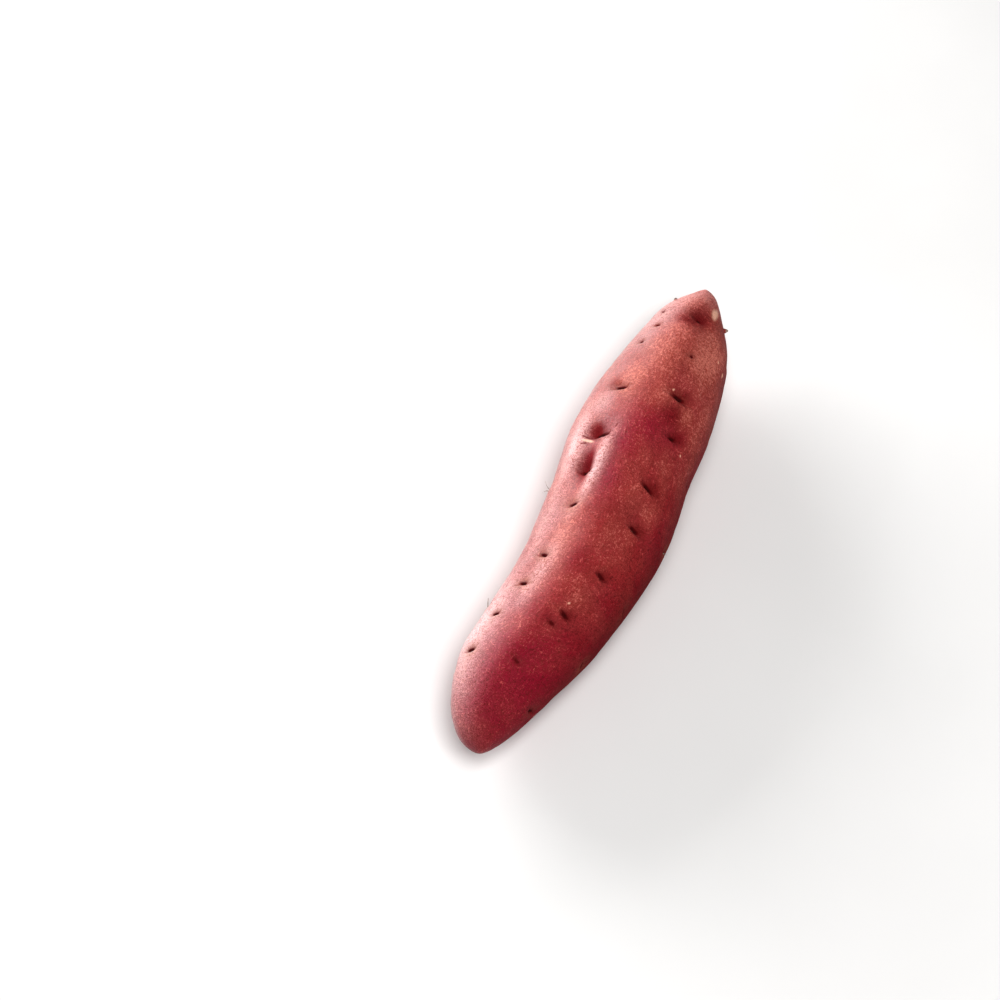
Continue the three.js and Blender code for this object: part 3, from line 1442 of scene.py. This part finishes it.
    def scurfy_colour(
        self,
        bench: NodeBench,
        colour: bpy.types.NodeSocket,
        coverage: bpy.types.NodeSocket,
        layers: tuple[bpy.types.Node, ...],
    ) -> bpy.types.NodeSocket:
        """Lays the pores and then the flecks of scurf over the skin's colour.

        Args:
            bench: The material's bench.
            colour: The colour so far.
            coverage: The share that scurf covers.
            layers: The scurf of each grain.

        Returns:
            The colour with its scurf.
        """
        dusty = bench.step(coverage, *self.dusty_step)
        pore = bench.mix(dusty, self.pore, self.tan_pore)
        fleck = bench.mix(dusty, self.rosy_fleck, self.tan_fleck)
        # Painted highlight: flecks turn pale pink-white where the highlight is painted
        fleck = bench.mix(bench.mask(Tone.BLOOM), fleck, self.painted_highlight_colour)
        for grain, scurf in zip(self.grains, layers):
            colour = bench.mix(bench.math("MULTIPLY", scurf.outputs["Pore"], grain.pore), colour, pore)
        for grain, scurf in zip(self.grains, layers):
            colour = bench.mix(bench.math("MULTIPLY", scurf.outputs["Fleck"], grain.fleck), colour, fleck)
        return colour

    def marked_colour(
        self, bench: NodeBench, place: bpy.types.NodeSocket, colour: bpy.types.NodeSocket
    ) -> bpy.types.NodeSocket:
        """Lays the eyes, the painted shade of folds, creases and eye hollows, and the scars over the skin's
        colour.

        Args:
            bench: The material's bench.
            place: The straightened place.
            colour: The colour so far.

        Returns:
            The finished colour.
        """
        speckle = bench.step(self.halo_speckle.value(bench, place), *self.halo_step)
        halo = bench.math("MULTIPLY", bench.mask(Mark.DRY_HALO, self.halo_share), speckle)
        colour = bench.mix(halo, colour, self.halo)
        # Painted shade: the pore colour darkens folds, creases and eye hollows
        colour = bench.mix(bench.mask(Mark.FOLD_SHADE, self.fold_share), colour, self.pore)
        uneven = bench.math("ADD", self.mottle.value(bench, place), self.least_mottle)
        dark = bench.math("MULTIPLY", bench.mask(Mark.EYE_DARK), uneven)
        colour = bench.mix(bench.step(dark, *self.bruise_step), colour, self.bruise)
        colour = bench.mix(bench.step(dark, *self.bark_step), colour, self.bark)
        colour = bench.mix(bench.mask(Healed.CORK, self.cork_share), colour, self.cork)
        return bench.mix(bench.mask(Healed.WOOD), colour, self.wood)

    def dullness(
        self, bench: NodeBench, place: bpy.types.NodeSocket, scurf: bpy.types.Node
    ) -> bpy.types.NodeSocket:
        """Works out the roughness: more on flecks, in eyes and in the maroon hollows with their painted
        shade, and on the dusty flank.

        Args:
            bench: The material's bench.
            place: The straightened place.
            scurf: The scurf of the coarsest grain.

        Returns:
            The roughness.
        """
        flank = bench.step(bench.split(place).outputs["Y"], *self.rough_flank_step)
        return bench.math(
            "ADD",
            bench.math("MULTIPLY", scurf.outputs["Fleck"], self.rough_fleck),
            bench.mask(Mark.EYE_DARK, self.rough_eye),
            bench.mask(Tone.MAROON_AND_SHADE, self.rough_maroon_and_shade),
            self.rough_patches.value(bench, place),
            bench.math("MULTIPLY", flank, self.rough_flank),
            self.roughness,
        )

    def wax(self, bench: NodeBench, place: bpy.types.NodeSocket) -> bpy.types.NodeSocket:
        """Works out where the skin has kept its wax: in patches, and most on the flank towards +Y.

        Args:
            bench: The material's bench.
            place: The straightened place.

        Returns:
            How much wax there is.
        """
        flank = bench.step(bench.split(place).outputs["Y"], *self.wax_flank_step)
        patchy = bench.step(self.wax_patches.value(bench, place), *self.wax_patch_step)
        bare = (Mark.EYE_DARK, Mark.FOLD_SHADE, Tone.MAROON_AND_SHADE)
        dusted = bench.mask(Tone.TAN, self.wax_dusted)
        worn = bench.math("MAXIMUM", *(bench.mask(mark) for mark in bare), dusted)
        kept = bench.math("ADD", bench.math("MULTIPLY", patchy, self.wax_patch_share), self.wax_kept)
        kept = bench.math("SUBTRACT", kept, bench.math("MULTIPLY", worn, self.wax_worn))
        return bench.math("MULTIPLY", flank, bench.math("MAXIMUM", kept, 0.0))

    def build(self) -> bpy.types.Material:
        """Builds the material.

        Returns:
            The root skin.
        """
        material, bench, shader = opened_material(self.name)
        place = bench.straight_place()
        coverage = self.coverage(bench, place)
        layers = tuple(
            SCURF.placed(bench, Place=place, Grain_Size=grain.size, Coverage=coverage)
            for grain in self.grains
        )
        colour = self.scurfy_colour(bench, self.base_colour(bench, place), coverage, layers)
        bench.feed(shader.inputs["Base Color"], self.marked_colour(bench, place, colour))
        bench.feed(shader.inputs["Roughness"], self.dullness(bench, place, layers[0]))
        shader.inputs["Specular IOR Level"].default_value = self.specular
        bench.feed(shader.inputs["Coat Weight"], self.wax(bench, place))
        shader.inputs["Coat Roughness"].default_value = self.wax_roughness
        shader.inputs["Coat IOR"].default_value = self.wax_ior
        pits = bench.bump(self.wax_pits.value(bench, place), self.relief_strength, self.relief)
        bench.feed(shader.inputs["Coat Normal"], pits)
        height = self.peel.value(bench, place)
        for grain, scurf in zip(self.grains, layers):
            raised = bench.math("MULTIPLY", scurf.outputs["Height"], grain.height)
            height = bench.math("ADD", height, raised)
        bench.feed(shader.inputs["Normal"], bench.bump(height, self.relief_strength, self.relief))
        return material


@dataclass(frozen=True)
class DryRoot:
    """Dry brown fibre of the broken root stubs and root hairs."""

    name: str = "dry_root"
    bark: Colour = from_srgb(92, 74, 70)
    tip: Colour = from_srgb(168, 144, 128)
    roughness: float = 0.8
    grain_size: float = 0.3
    covered: float = 0.6
    patch_size: float = 1.2
    patch_softness: float = 0.2
    fleck: float = 0.4
    relief_strength: float = 0.5
    relief: float = 0.0002

    def build(self) -> bpy.types.Material:
        """Builds the material.

        Returns:
            The dry fibre.
        """
        material, bench, shader = opened_material(self.name)
        place = bench.straight_place()
        scurf = SCURF.placed(bench, Place=place, Grain_Size=self.grain_size, Coverage=self.covered)
        drift = DRIFT.placed(bench, Place=place, Patch_Size=self.patch_size, Softness=self.patch_softness)
        colour = bench.mix(drift.outputs["Mask"], self.bark, self.tip)
        colour = bench.mix(bench.math("MULTIPLY", scurf.outputs["Fleck"], self.fleck), colour, self.tip)
        bench.feed(shader.inputs["Base Color"], colour)
        shader.inputs["Roughness"].default_value = self.roughness
        normal = bench.bump(scurf.outputs["Height"], self.relief_strength, self.relief)
        bench.feed(shader.inputs["Normal"], normal)
        return material


@dataclass(frozen=True)
class PaleFloor:
    """Plain off-white studio floor whose shade drifts a little."""

    name: str = "pale_floor"
    light: Colour = (0.77, 0.765, 0.76)
    shade: Colour = (0.74, 0.735, 0.73)
    patch_size: float = 120.0
    patch_softness: float = 0.3
    roughness: float = 0.75
    specular: float = 0.2

    def build(self) -> bpy.types.Material:
        """Builds the material.

        Returns:
            The floor's finish.
        """
        material, bench, shader = opened_material(self.name)
        metres = bench.add("ShaderNodeTexCoord").outputs["Object"]
        place = bench.moved("MULTIPLY", metres, (1 / MM, 1 / MM, 1 / MM))
        drift = DRIFT.placed(bench, Place=place, Patch_Size=self.patch_size, Softness=self.patch_softness)
        bench.feed(shader.inputs["Base Color"], bench.mix(drift.outputs["Mask"], self.light, self.shade))
        shader.inputs["Roughness"].default_value = self.roughness
        shader.inputs["Specular IOR Level"].default_value = self.specular
        return material


# The sweet potato


@dataclass
class SkinMesh:
    """The skin's mesh while it is being made."""

    points: list[np.ndarray]
    straight: list[np.ndarray]
    faces: list[list[int]]
    corners: list[list[Place]]
    dry: set[int]

    def made(self, name: str, masks: Masks) -> bpy.types.Object:
        """Makes the mesh object.

        Args:
            name: The piece's name.
            masks: The masks, for the points that are not hairs.

        Returns:
            The object, linked to the scene.
        """
        mesh = bpy.data.meshes.new(name)
        mesh.from_pydata((np.array(self.points) * MM).tolist(), [], self.faces)
        straight = mesh.attributes.new(STRAIGHT_PLACE, "FLOAT_VECTOR", "POINT")
        straight.data.foreach_set("vector", np.array(self.straight, np.float32).ravel())
        for mark, mask in masks.items():
            layer = mesh.attributes.new(mark.value, "FLOAT", "POINT")
            padded = np.zeros(len(self.points), np.float32)
            padded[: len(mask)] = mask
            layer.data.foreach_set("value", padded)
        unrolled = mesh.uv_layers.new(name=BAKE_MAP)
        places = [place for face in self.corners for place in face]
        unrolled.uv.foreach_set("vector", np.array(places, np.float32).ravel())
        finish = np.zeros(len(self.faces), np.int32)
        finish[list(self.dry)] = 1
        mesh.polygons.foreach_set("material_index", finish)
        mesh.polygons.foreach_set("use_smooth", np.ones(len(self.faces), bool))
        mesh.update()
        piece = bpy.data.objects.new(name, mesh)
        bpy.context.scene.collection.objects.link(piece)
        return piece


@dataclass(frozen=True)
class HairShape:
    """How every root hair leans, thins out and lies on the unrolled map."""

    sides: int = 4
    bend: Axes = (1.0, 0.25, 0.0)
    foot: float = 1.15
    thinning: float = 0.85
    map_height: float = 0.9
    map_width: float = 0.8


@dataclass
class SweetPotato:
    """The whole root: one closed skin with its eyes, scars, stubs and root hairs.

    A reach is how far round a mark the faces are fine, and the eyes' is a share of their width.
    """

    node: str = TUBER_NODE
    name: str = "sweet_potato"
    eye_reach: float = 1.3
    scar_reach: float = 1.6
    crease_reach: float = 1.6
    crease_steps: tuple[float, ...] = (0.0, 0.5, 1.0)
    hair_reach: float = 1.2
    dry_cover: float = 0.5
    map_floor: float = 0.03
    hair: HairShape = HairShape()

    def __post_init__(self) -> None:
        """Takes the root's length from the frame and grows its rows of eyes."""
        low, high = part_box(self.node)
        self.form = RootForm(length=(high.x - low.x) / MM)
        draw = random.Random(SEED)
        others = tuple(eye for row in OTHER_EYE_ROWS for eye in row.grown(draw))
        self.relief = SkinRelief(self.form, UPPER_LEFT_EYES + UPPER_RIGHT_EYES + others)
        self.net = SkinNet(self.form)

    def fine_spots(self) -> list[Spot]:
        """Lists every place that needs fine faces.

        Returns:
            The along, around and reach of each one.
        """
        spots = [(eye.along, eye.around, self.eye_reach * eye.width) for eye in self.relief.eyes]
        for scar in SCARS:
            reach = max(scar.half_length, scar.half_width) + self.scar_reach
            spots.append((scar.along, scar.around, reach))
        for crease in CREASES:
            for step in self.crease_steps:
                along = crease.start[0] + step * (crease.end[0] - crease.start[0])
                around = crease.start[1] + step * (crease.end[1] - crease.start[1])
                spots.append((along, around, self.crease_reach))
        spots += [(sprout.along, sprout.around, self.hair_reach) for sprout in SPROUTS]
        spots += [(stub.along, stub.around, self.scar_reach) for stub in STUBS]
        return spots

    def placed(self, share: np.ndarray, around: np.ndarray) -> np.ndarray:
        """Places the plain skin where the frame's node is.

        Args:
            share: Share of the half turn from tail to crown, for each point.
            around: Degrees around the root.

        Returns:
            The points, in the frame, with the belly a little below the ground.
        """
        plain = self.form.points(share, around)
        low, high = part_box(self.node)
        box_low, box_high = plain.min(axis=0), plain.max(axis=0)
        shift = np.array([low.x + high.x, low.y + high.y, 0.0]) / 2 / MM - (box_low + box_high) / 2
        shift[2] = low.z / MM - box_low[2] - self.form.flat_depth
        return plain + shift

    def raised(self, plain: np.ndarray, height: np.ndarray) -> np.ndarray:
        """Moves the plain skin out by its relief, and presses the belly flat on the ground.

        Args:
            plain: The plain points.
            height: How far each one moves out.

        Returns:
            The finished points.
        """
        form = bpy.data.meshes.new("plain_form")
        form.from_pydata(plain.tolist(), [], self.net.faces)
        normals = np.array([vertex.normal[:] for vertex in form.vertices])
        bpy.data.meshes.remove(form)
        points = plain + normals * height[:, None]
        points[:, 2] = np.maximum(points[:, 2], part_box(self.node)[0].z / MM)
        return points

    def grow_hair(self, sprout: Sprout, skin: SkinMesh, cell: Span) -> None:
        """Grows one root hair out of the skin's own face, so that the two stay one closed surface.

        Args:
            sprout: The hair.
            skin: The mesh in making, which takes the hair.
            cell: Where the hair's place on the unrolled map starts, and how wide it is.
        """
        face = self.net.face_at(sprout.along, sprout.around)
        loop = skin.faces[face]
        base = np.array([skin.points[index] for index in loop])
        middle = base.mean(axis=0)
        outward = np.cross(base[2] - base[0], base[3] - base[1])
        outward = outward / np.linalg.norm(outward)
        bend = np.array(self.hair.bend) * sprout.lean
        start, width = cell
        sides = self.hair.sides
        tall = self.map_floor * self.hair.map_height / sprout.rings
        for ring in range(1, sprout.rings + 1):
            grown = ring / sprout.rings
            centre = middle + sprout.length * (outward * grown + bend * grown**2)
            thick = self.hair.foot - self.hair.thinning * grown
            upper = [len(skin.points) + corner for corner in range(sides)]
            for corner in range(sides):
                skin.points.append(centre + (base[corner] - middle) * thick)
                skin.straight.append(skin.straight[loop[0]] + np.array([grown * sprout.length, 0, 0]))
            for corner in range(sides):
                after = (corner + 1) % sides
                skin.dry.add(len(skin.faces))
                skin.faces.append([loop[corner], loop[after], upper[after], upper[corner]])
                left, right = start + width * corner / sides, start + width * (corner + 1) / sides
                low, high = tall * (ring - 1), tall * ring
                skin.corners.append([(left, low), (right, low), (right, high), (left, high)])
            loop = upper
        skin.faces[face] = loop
        skin.dry.add(face)

    def build_mesh(self) -> bpy.types.Object:
        """Builds the skin with its hairs.

        Returns:
            The mesh object, not yet dressed.
        """
        self.net.weave(self.fine_spots())
        share, around = self.net.share, self.net.around
        plain = self.placed(share, around)
        height, masks = self.relief.marks(share, around, plain)
        stub = masks.pop(Mark.STUB)
        faces, floor = self.net.faces, self.map_floor
        skin = SkinMesh(
            points=list(self.raised(plain, height)),
            straight=list(self.form.straightened(share, around)),
            faces=faces,
            corners=[[(u, floor + v * (1 - floor)) for u, v in face] for face in self.net.corners],
            dry={index for index, face in enumerate(faces) if stub[face].mean() > self.dry_cover},
        )
        room = 1 / len(SPROUTS)
        for index, sprout in enumerate(SPROUTS):
            self.grow_hair(sprout, skin, (index * room, self.hair.map_width * room))
        return skin.made(self.name, masks)

    def build(self, skin: bpy.types.Material, fibre: bpy.types.Material) -> None:
        """Builds and dresses the root, and ties it to the frame.

        Args:
            skin: The finish of the skin.
            fibre: The finish of the stubs and root hairs.
        """
        piece = self.build_mesh()
        piece.data.materials.append(skin)
        piece.data.materials.append(fibre)
        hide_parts(self.node)
        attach(piece, BODY)
        triangles = sum(len(face.vertices) - 2 for face in piece.data.polygons)
        log.info("%s: %d triangles", piece.name, triangles)


# The studio


def aim(thing: bpy.types.Object, target: Vector, away: Vector, distance: float) -> None:
    """Puts a light or a camera into the scene, facing a point.

    Args:
        thing: The light or camera.
        target: The point it faces.
        away: The direction from the point to it.
        distance: How far from the point it stands.
    """
    thing.location = target + away * distance
    thing.rotation_euler = (-away).to_track_quat("-Z", "Y").to_euler()
    bpy.context.scene.collection.objects.link(thing)


@dataclass(frozen=True)
class SoftBox:
    """A soft light with an oblong face, turned to the root."""

    name: str
    azimuth: float
    elevation: float
    distance: float
    width: float
    height: float
    watts: float

    def build(self, target: Vector) -> None:
        """Builds the light.

        Args:
            target: The point it faces.
        """
        data = bpy.data.lights.new(self.name, "AREA")
        data.shape = "RECTANGLE"
        data.size = self.width
        data.size_y = self.height
        data.energy = self.watts
        a, e = math.radians(self.azimuth), math.radians(self.elevation)
        away = Vector((math.cos(a) * math.cos(e), math.sin(a) * math.cos(e), math.sin(e)))
        aim(bpy.data.objects.new(self.name, data), target, away, self.distance)
        log.info("light %s", self.name)


@dataclass(frozen=True)
class Studio:
    """Pale floor, soft light and the camera that looks down on the root.

    Only the lens and the sensor are in millimetres, as Blender takes them.
    """

    floor_size: float = 6.0
    lens: float = 85.0
    sensor: float = 36.0
    nearest: float = 0.01
    distance: float = 0.87
    azimuth: float = -64.77
    elevation: float = 63.0
    target: Axes = (-0.0123, 0.0373, 0.025)
    lit_point: Axes = (0.0, 0.0, 0.02)
    ambient: float = 0.11
    ambient_colour: Colour = (1.0, 0.985, 0.97)
    exposure: float = 0.3
    gamma: float = 0.8
    boxes: tuple[SoftBox, ...] = (
        SoftBox("window_key", azimuth=68, elevation=15, distance=1.1, width=0.85, height=0.5, watts=15.0),
        SoftBox("front_fill", azimuth=225, elevation=73, distance=1.3, width=0.7, height=0.7, watts=14.4),
    )

    def build_floor(self, finish: bpy.types.Material) -> None:
        """Builds the floor.

        Args:
            finish: Its material.
        """
        half = self.floor_size / 2
        mesh = bpy.data.meshes.new("floor")
        corners = [(-half, -half, 0), (half, -half, 0), (half, half, 0), (-half, half, 0)]
        mesh.from_pydata(corners, [], [(0, 1, 2, 3)])
        mesh.materials.append(finish)
        floor = bpy.data.objects.new("floor", mesh)
        bpy.context.scene.collection.objects.link(floor)
        log.info("floor")

    def build_camera(self) -> None:
        """Builds the camera and makes it the scene's own."""
        data = bpy.data.cameras.new("camera")
        data.lens = self.lens
        data.sensor_width = self.sensor
        data.clip_start = self.nearest
        camera = bpy.data.objects.new("camera", data)
        a, e = math.radians(self.azimuth), math.radians(self.elevation)
        away = Vector((math.sin(a) * math.cos(e), -math.cos(a) * math.cos(e), math.sin(e)))
        aim(camera, Vector(self.target), away, self.distance)
        bpy.context.scene.camera = camera
        log.info("camera")

    def build_world(self) -> None:
        """Fills the room with faint even light."""
        world = bpy.data.worlds.new("room_light")
        world.use_nodes = True
        background = world.node_tree.nodes["Background"]
        background.inputs["Color"].default_value = (*self.ambient_colour, 1.0)
        background.inputs["Strength"].default_value = self.ambient
        bpy.context.scene.world = world

    def build(self, finish: bpy.types.Material) -> None:
        """Builds the floor, the lights, the world and the camera, and sets how the picture is shown.

        Args:
            finish: The floor's material.
        """
        self.build_floor(finish)
        for box in self.boxes:
            box.build(Vector(self.lit_point))
        self.build_world()
        self.build_camera()
        view = bpy.context.scene.view_settings
        view.view_transform = "Standard"
        view.exposure = self.exposure
        view.gamma = self.gamma


def main() -> None:
    """Builds the shared effects, the root and the studio in order."""
    logging.basicConfig(level=logging.INFO, format="%(name)s: %(message)s")
    for effect in (SCURF, DRIFT):
        effect.build()
    potato = SweetPotato()
    potato.build(RootSkin(length=potato.form.length).build(), DryRoot().build())
    Studio().build(PaleFloor().build())


if __name__ == "__main__":
    main()
